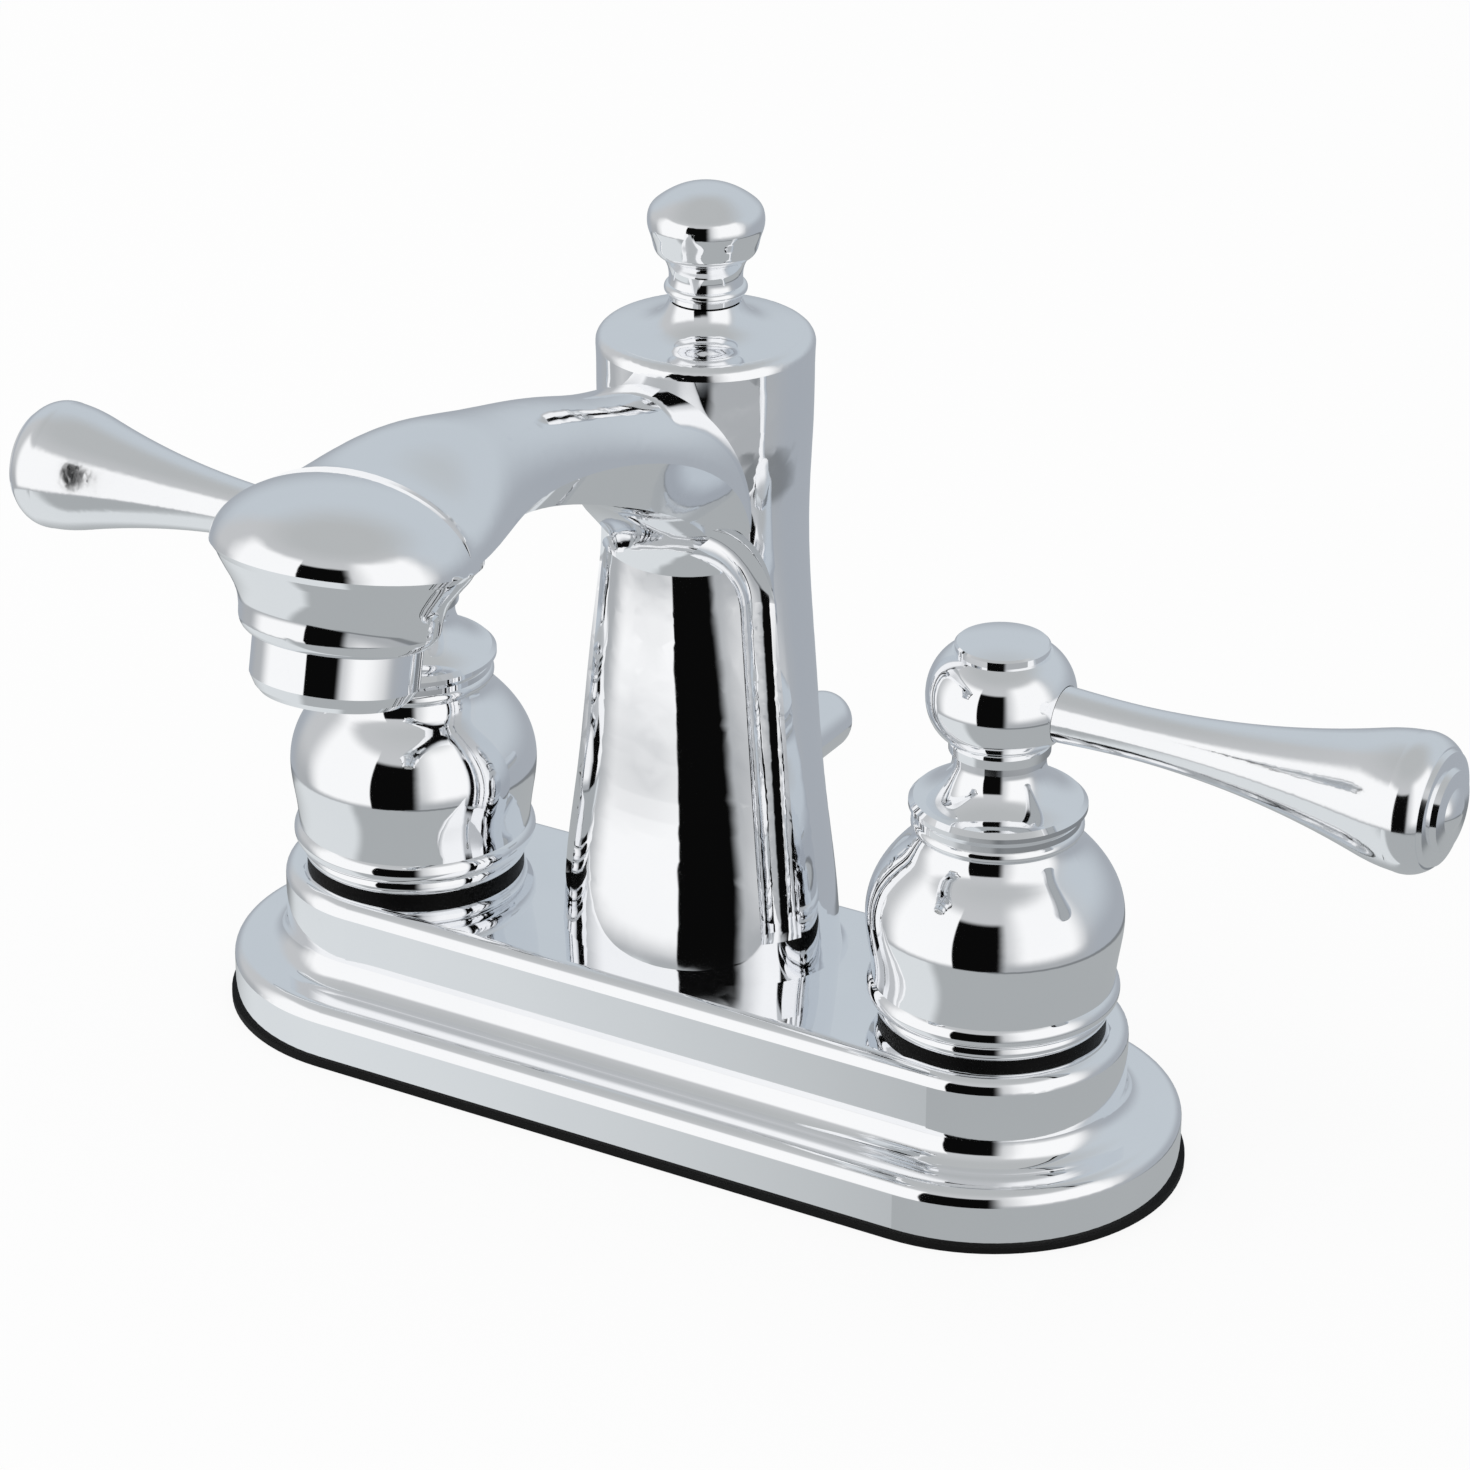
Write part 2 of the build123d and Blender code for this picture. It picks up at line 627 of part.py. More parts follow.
# Everything that stands on the two handle axes
for side, name in ((-1, "hot"), (1, "cold")):
    x = side * half_centres
    axis = upright_axis(x)

    # Water inlet: a hollow threaded shank with its washer and nut under the deck
    with BuildPart() as shank:
        with BuildSketch(Plane.XY.offset(-shank_drop)):
            with Locations((x, 0)):
                Circle(shank_radius)
                Circle(shank_bore, mode=Mode.SUBTRACT)
        extrude(amount=shank_drop + tower_floor - tower_web)
        chamfer(shank.edges().group_by(Axis.Z)[0].sort_by(SortBy.LENGTH)[-1], 1.0)
        with BuildSketch(Plane.XY.offset(nut_foot - 1)):
            with Locations((x, 0)):
                Circle(shank_radius)
                Circle(shank_radius - shank_relief, mode=Mode.SUBTRACT)
        extrude(amount=-shank_relief_width, mode=Mode.SUBTRACT)
    shank.part.label = f"{name}_shank"
    export_step(shank.part, f"parts/{name}_shank.step")

    with BuildPart() as mounting_washer:
        with BuildSketch(Plane.XY.offset(-deck_thickness - washer_thickness)):
            with Locations((x, 0)):
                Circle(washer_radius)
                Circle(shank_radius + loose_clearance, mode=Mode.SUBTRACT)
        extrude(amount=washer_thickness)
    mounting_washer.part.label = f"{name}_mounting_washer"
    export_step(mounting_washer.part, f"parts/{name}_mounting_washer.step")

    with BuildPart() as mounting_nut:
        with BuildSketch(Plane.XY.offset(nut_foot)):
            with Locations((x, 0)):
                RegularPolygon(mounting_nut_width / 2, 6, major_radius=False)
                Circle(shank_radius + fit_clearance, mode=Mode.SUBTRACT)
        extrude(amount=mounting_nut_height)
    mounting_nut.part.label = f"{name}_mounting_nut"
    export_step(mounting_nut.part, f"parts/{name}_mounting_nut.step")

    # Body nut that clamps the plate to the tower
    with BuildPart() as body_nut:
        with BuildSketch(Plane.XY.offset(plate_top)):
            with Locations((x, 0)):
                RegularPolygon(body_nut_width / 2, 6, major_radius=False)
                Circle(tower_radius + fit_clearance, mode=Mode.SUBTRACT)
        extrude(amount=body_nut_height)
    body_nut.part.label = f"{name}_body_nut"
    export_step(body_nut.part, f"parts/{name}_body_nut.step")

    # Cartridge with inlet from below and a window to the gallery
    with BuildPart() as cartridge:
        for foot, top, radius in (
            (tower_floor, tower_top, cartridge_radius),
            (tower_top, tower_top + collar_thickness, cartridge_collar_radius),
            (tower_top, cartridge_top, cartridge_neck_radius),
        ):
            with BuildSketch(Plane.XY.offset(foot)):
                with Locations((x, 0)):
                    Circle(radius)
            extrude(amount=top - foot)
        with BuildSketch(Plane.XY.offset(tower_floor)):
            with Locations((x, 0)):
                Circle(inlet_radius)
        extrude(amount=stem_foot - tower_web - tower_floor, mode=Mode.SUBTRACT)
        with BuildSketch(Plane.XY.offset(stem_foot)):
            with Locations((x, 0)):
                Circle(stem_radius + fit_clearance)
        extrude(amount=cartridge_top - stem_foot, mode=Mode.SUBTRACT)
        with BuildSketch(Plane(origin=(x, 0, gallery_height), z_dir=(-side, 0, 0))):
            Circle(gallery_bore - 0.5)
        extrude(amount=cartridge_radius, mode=Mode.SUBTRACT)
    cartridge.part.label = f"{name}_cartridge"
    export_step(cartridge.part, f"parts/{name}_cartridge.step")

    # Bonnet nut that holds the cartridge down in the tower
    with BuildPart() as bonnet_nut:
        with BuildSketch(section_at(x)):
            with BuildLine():
                Polyline(
                    (cartridge_neck_radius + fit_clearance, tower_top + collar_thickness),
                    (tower_radius + fit_clearance, tower_top + collar_thickness),
                    (tower_radius + fit_clearance, tower_top - bonnet_grip),
                    (bonnet_radius, tower_top - bonnet_grip),
                    (bonnet_radius, bonnet_top - 1),
                    (bonnet_radius - 1, bonnet_top),
                    (cartridge_neck_radius + fit_clearance, bonnet_top),
                    close=True,
                )
            make_face()
        revolve(axis=axis)
    bonnet_nut.part.label = f"{name}_bonnet_nut"
    export_step(bonnet_nut.part, f"parts/{name}_bonnet_nut.step")

    # Black ring between the plate and the bell
    with BuildPart() as bell_ring:
        with BuildSketch(Plane.XY.offset(plate_top)):
            with Locations((x, 0)):
                Circle(ring_radius)
                Circle(ring_radius - ring_wall, mode=Mode.SUBTRACT)
        extrude(amount=bell_foot - plate_top)
    bell_ring.part.label = f"{name}_bell_ring"
    export_step(bell_ring.part, f"parts/{name}_bell_ring.step")

    # Bell: foot bead, swelling body, drawn-in shoulder and a thin top bead
    with BuildPart() as bell:
        with BuildSketch(section_at(x)):
            with BuildLine():
                foot_line = Line((bell_bore, bell_foot), (0.885 * bell_radius, bell_foot))
                foot_ring = ThreePointArc(
                    foot_line @ 1,
                    (0.915 * bell_radius, bell_foot + 0.037 * bell_height),
                    (0.89 * bell_radius, bell_foot + 0.074 * bell_height),
                )
                foot_ledge = Line(foot_ring @ 1, (0.962 * bell_radius, bell_foot + 0.084 * bell_height))
                foot_bead = ThreePointArc(
                    foot_ledge @ 1,
                    (0.985 * bell_radius, bell_foot + 0.124 * bell_height),
                    (0.947 * bell_radius, bell_foot + 0.174 * bell_height),
                )
                body = Spline(
                    foot_bead @ 1,
                    (0.978 * bell_radius, bell_foot + 0.348 * bell_height),
                    (bell_radius, bell_foot + 0.495 * bell_height),
                    (0.963 * bell_radius, bell_foot + 0.607 * bell_height),
                    (0.765 * bell_radius, bell_foot + 0.789 * bell_height),
                    (0.665 * bell_radius, bell_foot + 0.862 * bell_height),
                    (0.642 * bell_radius, bell_foot + 0.908 * bell_height),
                )
                top_bead = ThreePointArc(
                    body @ 1,
                    (0.666 * bell_radius, bell_foot + 0.936 * bell_height),
                    (0.645 * bell_radius, bell_foot + 0.963 * bell_height),
                )
                Polyline(
                    top_bead @ 1,
                    (0.645 * bell_radius, bell_top - 0.3),
                    (0.63 * bell_radius, bell_top),
                    (bell_mouth, bell_top),
                    (bell_mouth, bell_top - bell_wall),
                    (0.56 * bell_radius, bell_foot + 0.844 * bell_height),
                    (bell_bore, bell_foot + 0.55 * bell_height),
                    foot_line @ 0,
                )
            make_face()
        revolve(axis=axis)
    bell.part.label = f"{name}_bell"
    export_step(bell.part, f"parts/{name}_bell.step")

    # Stem: a round spindle with a toothed upper end and a tapped hole
    with BuildPart() as stem:
        with BuildSketch(Plane.XY.offset(stem_foot)):
            with Locations((x, 0)):
                Circle(stem_radius)
        extrude(amount=spline_foot - stem_foot)
        with BuildSketch(Plane.XY.offset(spline_foot)):
            with Locations((x, 0)):
                add(spline_section(0))
        extrude(amount=stem_top - spline_foot)
        with BuildSketch(Plane.XY.offset(stem_top - handle_screw_depth)):
            with Locations((x, 0)):
                Circle(handle_screw_radius + fit_clearance)
        extrude(amount=handle_screw_depth, mode=Mode.SUBTRACT)
    stem.part.label = f"{name}_stem"
    export_step(stem.part, f"parts/{name}_stem.step")

    # Hub: sleeve, flange, flared neck, ring and ball, with the lever's socket in its side
    with BuildPart() as handle_hub:
        with BuildSketch(section_at(x)):
            with BuildLine():
                sleeve_line = Polyline(
                    (0, hub_foot - sleeve_length),
                    (sleeve_radius, hub_foot - sleeve_length),
                    (sleeve_radius, hub_foot),
                    (flange_radius - 0.4, hub_foot),
                    (flange_radius, hub_foot + 0.4),
                    (flange_radius, hub_foot + 1.1),
                    (flange_radius - 0.7, hub_foot + 1.8),
                )
                flare = Spline(
                    sleeve_line @ 1,
                    (1.55 * neck_radius, hub_foot + 2.5),
                    (1.25 * neck_radius, hub_foot + 4.1),
                    (1.05 * neck_radius, hub_foot + 6.1),
                    (neck_radius, neck_height),
                )
                collar_line = Polyline(
                    flare @ 1,
                    (neck_radius, neck_height + 1.0),
                    (neck_radius + 0.6, neck_height + 1.3),
                    (neck_radius + 0.65, neck_height + 2.7),
                    (neck_radius + 0.3, neck_height + 3.1),
                )
                ball = Spline(
                    collar_line @ 1,
                    (0.9 * ball_radius, lever_height - 0.34 * ball_radius),
                    (ball_radius, lever_height),
                    (0.9 * ball_radius, lever_height + 0.46 * ball_radius),
                    (cap_radius + 0.35, ball_top),
                )
                Polyline(ball @ 1, (0, ball_top), sleeve_line @ 0)
            make_face()
        revolve(axis=axis)
        with BuildSketch(Plane.XY.offset(hub_foot - sleeve_length)):
            with Locations((x, 0)):
                add(spline_section(fit_clearance))
        extrude(amount=stem_top - hub_foot + sleeve_length, mode=Mode.SUBTRACT)
        with BuildSketch(Plane.XY.offset(stem_top)):
            with Locations((x, 0)):
                Circle(handle_screw_radius + loose_clearance)
        extrude(amount=ball_top - stem_top, mode=Mode.SUBTRACT)
        with BuildSketch(Plane.XY.offset(screw_seat)):
            with Locations((x, 0)):
                Circle(cap_spigot_radius + fit_clearance)
        extrude(amount=ball_top - screw_seat, mode=Mode.SUBTRACT)
        lever_plane = Plane(origin=(x + side * lever_seat, 0, lever_height), z_dir=(side, 0, 0))
        with BuildSketch(lever_plane):
            Circle(lever_root_radius + fit_clearance)
        extrude(amount=ball_radius, mode=Mode.SUBTRACT)
        with BuildSketch(lever_plane):
            Circle(lever_spigot_radius + fit_clearance)
        extrude(amount=-lever_spigot, mode=Mode.SUBTRACT)
    handle_hub.part.label = f"{name}_handle_hub"
    export_step(handle_hub.part, f"parts/{name}_handle_hub.step")

    with BuildPart() as handle_screw:
        with BuildSketch(Plane.XY.offset(screw_seat)):
            with Locations((x, 0)):
                Circle(handle_screw_head_radius)
        extrude(amount=handle_screw_head)
        with BuildSketch(Plane.XY.offset(screw_seat + handle_screw_head)):
            with Locations((x, 0)):
                RegularPolygon(0.5 * handle_screw_head_radius, 6)
        extrude(amount=-0.6 * handle_screw_head, mode=Mode.SUBTRACT)
        with BuildSketch(Plane.XY.offset(screw_seat)):
            with Locations((x, 0)):
                Circle(handle_screw_radius)
        extrude(amount=stem_top - handle_screw_depth + 1 - screw_seat)
    handle_screw.part.label = f"{name}_handle_screw"
    export_step(handle_screw.part, f"parts/{name}_handle_screw.step")

    # Cap over the handle screw: rim, low dome and a spigot in the hub
    with BuildPart() as index_cap:
        with BuildSketch(section_at(x)):
            with BuildLine():
                cap_edge = Polyline(
                    (0, ball_top - cap_spigot),
                    (cap_spigot_radius, ball_top - cap_spigot),
                    (cap_spigot_radius, ball_top),
                    (cap_radius, ball_top),
                    (cap_radius, ball_top + cap_rim - 0.3),
                    (cap_radius - 0.3, ball_top + cap_rim),
                )
                dome = TangentArc((0, ball_top + cap_rim + cap_dome), cap_edge @ 1, tangent=(1, 0))
                Line(dome @ 0, cap_edge @ 0)
            make_face()
        revolve(axis=axis)
    index_cap.part.label = f"{name}_index_cap"
    export_step(index_cap.part, f"parts/{name}_index_cap.step")

    # Lever: a slim neck that swells to a bulb, with stepped rings and a button at its end
    with BuildPart() as lever:
        with BuildSketch(Plane(origin=(x, 0, lever_height), x_dir=(side, 0, 0), z_dir=(0, -side, 0))):
            with BuildLine():
                spigot_line = Polyline(
                    (lever_seat - lever_spigot, 0),
                    (lever_seat - lever_spigot, lever_spigot_radius),
                    (lever_seat, lever_spigot_radius),
                    (lever_seat, lever_root_radius),
                )
                swell = Spline(
                    spigot_line @ 1,
                    (0.29 * lever_length, lever_waist_radius),
                    (0.40 * lever_length, 1.07 * lever_waist_radius),
                    (0.512 * lever_length, 0.483 * lever_bulb_radius),
                    (0.623 * lever_length, 0.596 * lever_bulb_radius),
                    (0.79 * lever_length, 0.856 * lever_bulb_radius),
                    (0.895 * lever_length, lever_bulb_radius),
                    tangents=((1, -0.04), (1, 0.06)),
                )
                bulb_rim = ThreePointArc(
                    swell @ 1,
                    (0.936 * lever_length, 0.97 * lever_bulb_radius),
                    (0.958 * lever_length, 0.87 * lever_bulb_radius),
                )
                steps = Polyline(
                    bulb_rim @ 1,
                    (0.958 * lever_length, 0.84 * lever_bulb_radius),
                    (0.968 * lever_length, 0.81 * lever_bulb_radius),
                    (0.971 * lever_length, 0.6 * lever_bulb_radius),
                    (0.983 * lever_length, 0.57 * lever_bulb_radius),
                    (0.986 * lever_length, 0.33 * lever_bulb_radius),
                )
                button = TangentArc((lever_length, 0), steps @ 1, tangent=(0, 1))
                Line(button @ 0, spigot_line @ 0)
            make_face()
        revolve(axis=Axis((x, 0, lever_height), (side, 0, 0)))
    lever.part.label = f"{name}_lever"
    export_step(lever.part, f"parts/{name}_lever.step")
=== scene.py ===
import math

import bpy
from mathutils import Matrix, Vector


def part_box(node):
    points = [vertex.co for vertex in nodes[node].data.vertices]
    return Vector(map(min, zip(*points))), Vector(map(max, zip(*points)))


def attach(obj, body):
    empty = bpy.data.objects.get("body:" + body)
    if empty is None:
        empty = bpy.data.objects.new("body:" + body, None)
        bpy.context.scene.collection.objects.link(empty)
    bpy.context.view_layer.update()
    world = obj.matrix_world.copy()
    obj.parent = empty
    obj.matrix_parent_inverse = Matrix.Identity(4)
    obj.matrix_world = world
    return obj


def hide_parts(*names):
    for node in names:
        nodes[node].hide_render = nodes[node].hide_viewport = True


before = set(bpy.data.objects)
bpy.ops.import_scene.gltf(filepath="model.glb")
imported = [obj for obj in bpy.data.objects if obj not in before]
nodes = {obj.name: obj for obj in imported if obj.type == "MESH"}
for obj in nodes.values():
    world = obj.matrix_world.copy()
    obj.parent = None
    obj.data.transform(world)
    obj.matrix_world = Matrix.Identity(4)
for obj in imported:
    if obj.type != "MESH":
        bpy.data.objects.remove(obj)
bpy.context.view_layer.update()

millimetre = 0.001
print("faucet: frame loaded,", len(nodes), "nodes")


class Wire:
    # a socket that can be used in plain Python sums
    def __init__(self, tree, socket):
        self.tree = tree
        self.socket = socket

    def maths(self, operation, *others):
        made = addNode(self.tree, "ShaderNodeMath", {"operation": operation}, dict(enumerate((self, *others))))
        return Wire(self.tree, made.outputs[0])

    def __add__(self, other):
        return self.maths("ADD", other)

    __radd__ = __add__

    def __mul__(self, other):
        return self.maths("MULTIPLY", other)

    __rmul__ = __mul__

    def __sub__(self, other):
        return self.maths("SUBTRACT", other)

    def __rsub__(self, other):
        return (self * -1.0) + other

    def __truediv__(self, other):
        return self.maths("DIVIDE", other)

    def __rtruediv__(self, other):
        return self.maths("POWER", -1.0) * other

    def rise(self, start, end):
        # 0 below start, 1 above end, smooth between
        made = addNode(
            self.tree, "ShaderNodeMapRange", {"interpolation_type": "SMOOTHSTEP"},
            {"Value": self, "From Min": start, "From Max": end},
        )
        return Wire(self.tree, made.outputs[0])

    def band(self, low, high, softLow, softHigh):
        # 1 from low to high, fading out over the two soft widths outside them
        return self.rise(low - softLow, low) * (1 - self.rise(high, high + softHigh))


def addNode(tree, kind, settings=None, values=None):
    made = tree.nodes.new(kind)
    for name, value in (settings or {}).items():
        setattr(made, name, value)
    for name, value in (values or {}).items():
        if isinstance(value, Wire):
            tree.links.new(value.socket, made.inputs[name])
        elif isinstance(value, bpy.types.NodeSocket):
            tree.links.new(value, made.inputs[name])
        else:
            made.inputs[name].default_value = value
    return made


def blendColour(tree, factor, first, second):
    made = addNode(tree, "ShaderNodeMix", {"data_type": "RGBA"}, {"Factor": factor})
    for index, value in ((6, first), (7, second)):  # the two colour sockets share their names with others
        if isinstance(value, bpy.types.NodeSocket):
            tree.links.new(value, made.inputs[index])
        else:
            made.inputs[index].default_value = (*value, 1)
    return made.outputs[2]


def objectPoint(tree):
    return addNode(tree, "ShaderNodeTexCoord").outputs["Object"]


def noise(tree, scale, detail, roughness=0.5):
    made = addNode(
        tree, "ShaderNodeTexNoise", {},
        {"Vector": objectPoint(tree), "Scale": scale, "Detail": detail, "Roughness": roughness},
    )
    return Wire(tree, made.outputs["Fac"])


def newMaterial(name):
    material = bpy.data.materials.new(name)
    material.use_nodes = True
    material.node_tree.nodes.clear()
    return material, material.node_tree


def finishMaterial(tree, colour, roughness, height, depth, **constants):
    # one Principled shader; height is a signal, depth its size in millimetres
    bump = addNode(
        tree, "ShaderNodeBump", {}, {"Height": height, "Strength": 1.0, "Distance": depth * millimetre},
    )
    values = {"Base Color": colour, "Roughness": roughness, "Normal": bump.outputs[0]}
    values.update({name.replace("_", " "): value for name, value in constants.items()})
    shader = addNode(tree, "ShaderNodeBsdfPrincipled", {}, values)
    addNode(tree, "ShaderNodeOutputMaterial", {}, {"Surface": shader.outputs[0]})


# A noise is given as its scale, its detail and, where it isn't 0.5, its roughness
chromeLook = {
    "dark": (0.90, 0.91, 0.93),  # plating where it is a little thinner
    "light": (0.96, 0.965, 0.975),
    "cloud": (42.0, 3.0),  # noise between the two
    "polished": 0.035,  # roughness of the plated pieces
    "satin": 0.085,  # roughness of the two levers
    "smudge": (160.0, 4.0, 0.6),
    "smudgeRange": (0.52, 0.78),  # where the smudge noise starts and is full
    "smudgeRoughness": 0.035,
    "wave": (55.0, 1.0),  # slow waviness of hand polishing
    "waveDepth": 0.004,  # mm
    "grain": (2600.0, 2.0),
    "satinGrain": 0.12,  # share of the grain in the levers' waviness
}


def chrome(name, roughness, grain=0.0):
    material, tree = newMaterial(name)
    cloud = noise(tree, *chromeLook["cloud"])
    smudge = noise(tree, *chromeLook["smudge"]).rise(*chromeLook["smudgeRange"])
    colour = blendColour(tree, cloud, chromeLook["dark"], chromeLook["light"])
    height = noise(tree, *chromeLook["wave"])
    if grain:
        height = height + noise(tree, *chromeLook["grain"]) * grain
    roughness = smudge * chromeLook["smudgeRoughness"] + roughness
    finishMaterial(tree, colour, roughness, height, chromeLook["waveDepth"], Metallic=1.0)
    return material


rubberLook = {
    "speckle": (1800.0, 3.0, 0.7),
    "lighter": 1.9,  # how much lighter the speckles are
    "roughness": 0.62,
    "speckleRoughness": 0.15,
    "depth": 0.04,  # mm
    "sheen": 0.2,
}


def rubber(name, tone):
    material, tree = newMaterial(name)
    speckle = noise(tree, *rubberLook["speckle"])
    colour = blendColour(tree, speckle, tone, tuple(rubberLook["lighter"] * part for part in tone))
    roughness = speckle * rubberLook["speckleRoughness"] + rubberLook["roughness"]
    depth, sheen = rubberLook["depth"], rubberLook["sheen"]
    finishMaterial(tree, colour, roughness, speckle, depth, Specular_IOR_Level=sheen)
    return material


plasticLook = {
    "cloud": (120.0, 4.0),
    "darker": 0.88,  # tone of the darker clouds
    "grain": (2400.0, 2.0),
    "grainRoughness": 0.08,
    "depth": 0.01,  # mm
}


def plastic(name, tone, roughness, sheen=0.5):
    material, tree = newMaterial(name)
    cloud = noise(tree, *plasticLook["cloud"])
    grain = noise(tree, *plasticLook["grain"])
    colour = blendColour(tree, cloud, tuple(plasticLook["darker"] * part for part in tone), tone)
    roughness = grain * plasticLook["grainRoughness"] + roughness
    finishMaterial(tree, colour, roughness, grain, plasticLook["depth"], Specular_IOR_Level=sheen)
    return material


metalLook = {
    "brass": ((0.52, 0.36, 0.13), (0.78, 0.58, 0.27)),  # dark and light
    "steel": ((0.42, 0.42, 0.41), (0.62, 0.62, 0.61)),
    "cloud": (90.0, 5.0, 0.6),
    "cloudShare": 0.6,
    "stain": (420.0, 4.0, 0.7),
    "stainShare": 0.4,
    "stainRoughness": 0.18,
    "cutPitch": 0.35,  # mm for each radian of the marks, so one every 2.2 mm
    "cutWobble": 0.4,
}


def metal(name, tones, roughness, cutDepth=0.0, castDepth=0.0):
    # cut marks run round an upright axis; cast grain is even all over
    material, tree = newMaterial(name)
    cloud = noise(tree, *metalLook["cloud"])
    stain = noise(tree, *metalLook["stain"])
    colour = blendColour(tree, cloud * metalLook["cloudShare"] + stain * metalLook["stainShare"], *tones)
    height, depth = stain, castDepth
    if cutDepth:
        scale = 1.0 / (metalLook["cutPitch"] * millimetre * 20)  # this texture turns 20 radians for each unit
        cuts = addNode(
            tree, "ShaderNodeTexWave", {"wave_type": "BANDS", "bands_direction": "Z"},
            {"Vector": objectPoint(tree), "Scale": scale, "Distortion": metalLook["cutWobble"]},
        )
        height, depth = Wire(tree, cuts.outputs["Fac"]), cutDepth
    finishMaterial(tree, colour, stain * metalLook["stainRoughness"] + roughness, height, depth, Metallic=1.0)
    return material


polishedChrome = chrome("polishedChrome", chromeLook["polished"])
finishes = {
    "deck_gasket": rubber("gasketRubber", (0.0025, 0.0025, 0.0025)),
    "aerator_washer": rubber("sealRubber", (0.010, 0.010, 0.011)),
    "aerator_screen": plastic("insertPlastic", (0.62, 0.63, 0.62), 0.4),
    # the ring in the gap under each bell is near-black as painted shade of that gap
    "bell_ring": plastic("ringPlastic", (0.002, 0.002, 0.002), 0.45, 0.1),
    "valve_manifold": metal("castBrass", metalLook["brass"], 0.38, castDepth=0.08),
    "cartridge": metal("turnedBrass", metalLook["brass"], 0.2, cutDepth=0.012),
    "shank": metal("shankBrass", metalLook["brass"], 0.26, cutDepth=0.02),
    "mounting_nut": metal("nutBrass", metalLook["brass"], 0.3, cutDepth=0.01),
    "mounting_washer": metal("washerSteel", metalLook["steel"], 0.34, castDepth=0.03),
    "spout_screws": metal("screwSteel", metalLook["steel"], 0.22, cutDepth=0.01),
    "lever": chrome("satinChrome", chromeLook["satin"], chromeLook["satinGrain"]),
}
finishes["spout_seal"] = finishes["aerator_washer"]
finishes["stem"] = finishes["cartridge"]
finishes["body_nut"] = finishes["bonnet_nut"] = finishes["mounting_nut"]
finishes["handle_screw"] = finishes["spout_screws"]

for name, node in nodes.items():
    kind = name.removeprefix("hot_").removeprefix("cold_")
    for slot in node.material_slots:
        slot.material = finishes.get(kind, polishedChrome)
print("faucet: finishes on", len(nodes), "nodes")


shankThread = {
    "crest": 10.4,  # mm, outside radius of the thread
    "root": 9.8,
    "bore": 7.0,
    "pitch": 1.8,
    "chamfer": 1.5,  # mm left plain at each end
}
threadSteps = {
    "tube": 96,  # corners round the tube
    "turn": 48,  # points in one turn of the thread
    "ridge": 6,  # corners of the ridge's section
}


def threadTree(material):
    tree = bpy.data.node_groups.new("shankThread", "GeometryNodeTree")
    for name in ("Foot", "Length", "Axis", "Crest", "Root", "Bore", "Pitch", "Chamfer"):
        tree.interface.new_socket(name, in_out="INPUT", socket_type="NodeSocketFloat")
    tree.interface.new_socket("Geometry", in_out="OUTPUT", socket_type="NodeSocketGeometry")
    inputs = addNode(tree, "NodeGroupInput").outputs
    given = {socket.name: Wire(tree, socket) for socket in inputs if socket.name}

    def place(made, height):
        spot = addNode(tree, "ShaderNodeCombineXYZ", {}, {"X": given["Axis"], "Z": height})
        return addNode(tree, "GeometryNodeTransform", {}, {
            "Geometry": made.outputs[0], "Translation": spot.outputs[0],
        })

    path = addNode(tree, "GeometryNodeCurvePrimitiveCircle", {}, {
        "Resolution": threadSteps["tube"], "Radius": (given["Root"] + given["Bore"]) * 0.5,
    })
    section = addNode(tree, "GeometryNodeCurvePrimitiveQuadrilateral", {}, {
        "Width": given["Root"] - given["Bore"], "Height": given["Length"],
    })
    tube = addNode(tree, "GeometryNodeCurveToMesh", {}, {
        "Curve": path.outputs["Curve"], "Profile Curve": section.outputs[0],
    })
    run = given["Length"] - given["Chamfer"] * 2
    helix = addNode(tree, "GeometryNodeCurveSpiral", {}, {
        "Resolution": threadSteps["turn"], "Rotations": run / given["Pitch"],
        "Start Radius": given["Root"], "End Radius": given["Root"], "Height": run,
    })
    ridgeSection = addNode(tree, "GeometryNodeCurvePrimitiveCircle", {}, {
        "Resolution": threadSteps["ridge"], "Radius": given["Crest"] - given["Root"],
    })
    ridges = addNode(tree, "GeometryNodeCurveToMesh", {}, {
        "Curve": helix.outputs[0], "Profile Curve": ridgeSection.outputs["Curve"], "Fill Caps": True,
    })
    joined = addNode(tree, "GeometryNodeJoinGeometry")
    for moved in (
        place(tube, given["Foot"] + given["Length"] * 0.5),
        place(ridges, given["Foot"] + given["Chamfer"]),
    ):
        tree.links.new(moved.outputs[0], joined.inputs[0])
    real = addNode(tree, "GeometryNodeRealizeInstances", {}, {"Geometry": joined.outputs[0]})
    dressed = addNode(tree, "GeometryNodeSetMaterial", {}, {"Geometry": real.outputs[0], "Material": material})
    addNode(tree, "NodeGroupOutput", {}, {"Geometry": dressed.outputs[0]})
    return tree


def growPiece(name, tree, inputs):
    # runs a geometry tree once and keeps its plain mesh
    carrier = bpy.data.objects.new(name + "Carrier", bpy.data.meshes.new(name + "Carrier"))
    bpy.context.scene.collection.objects.link(carrier)
    modifier = carrier.modifiers.new("shape", "NODES")
    modifier.node_group = tree
    for socket in tree.interface.items_tree:
        if socket.in_out == "INPUT":
            modifier[socket.identifier] = inputs[socket.name]
    graph = bpy.context.evaluated_depsgraph_get()
    graph.update()
    mesh = bpy.data.meshes.new_from_object(carrier.evaluated_get(graph))
    carrier.modifiers.clear()
    bpy.data.objects.remove(carrier)
    mesh.name = name
    piece = bpy.data.objects.new(name, mesh)
    bpy.context.scene.collection.objects.link(piece)
    return piece


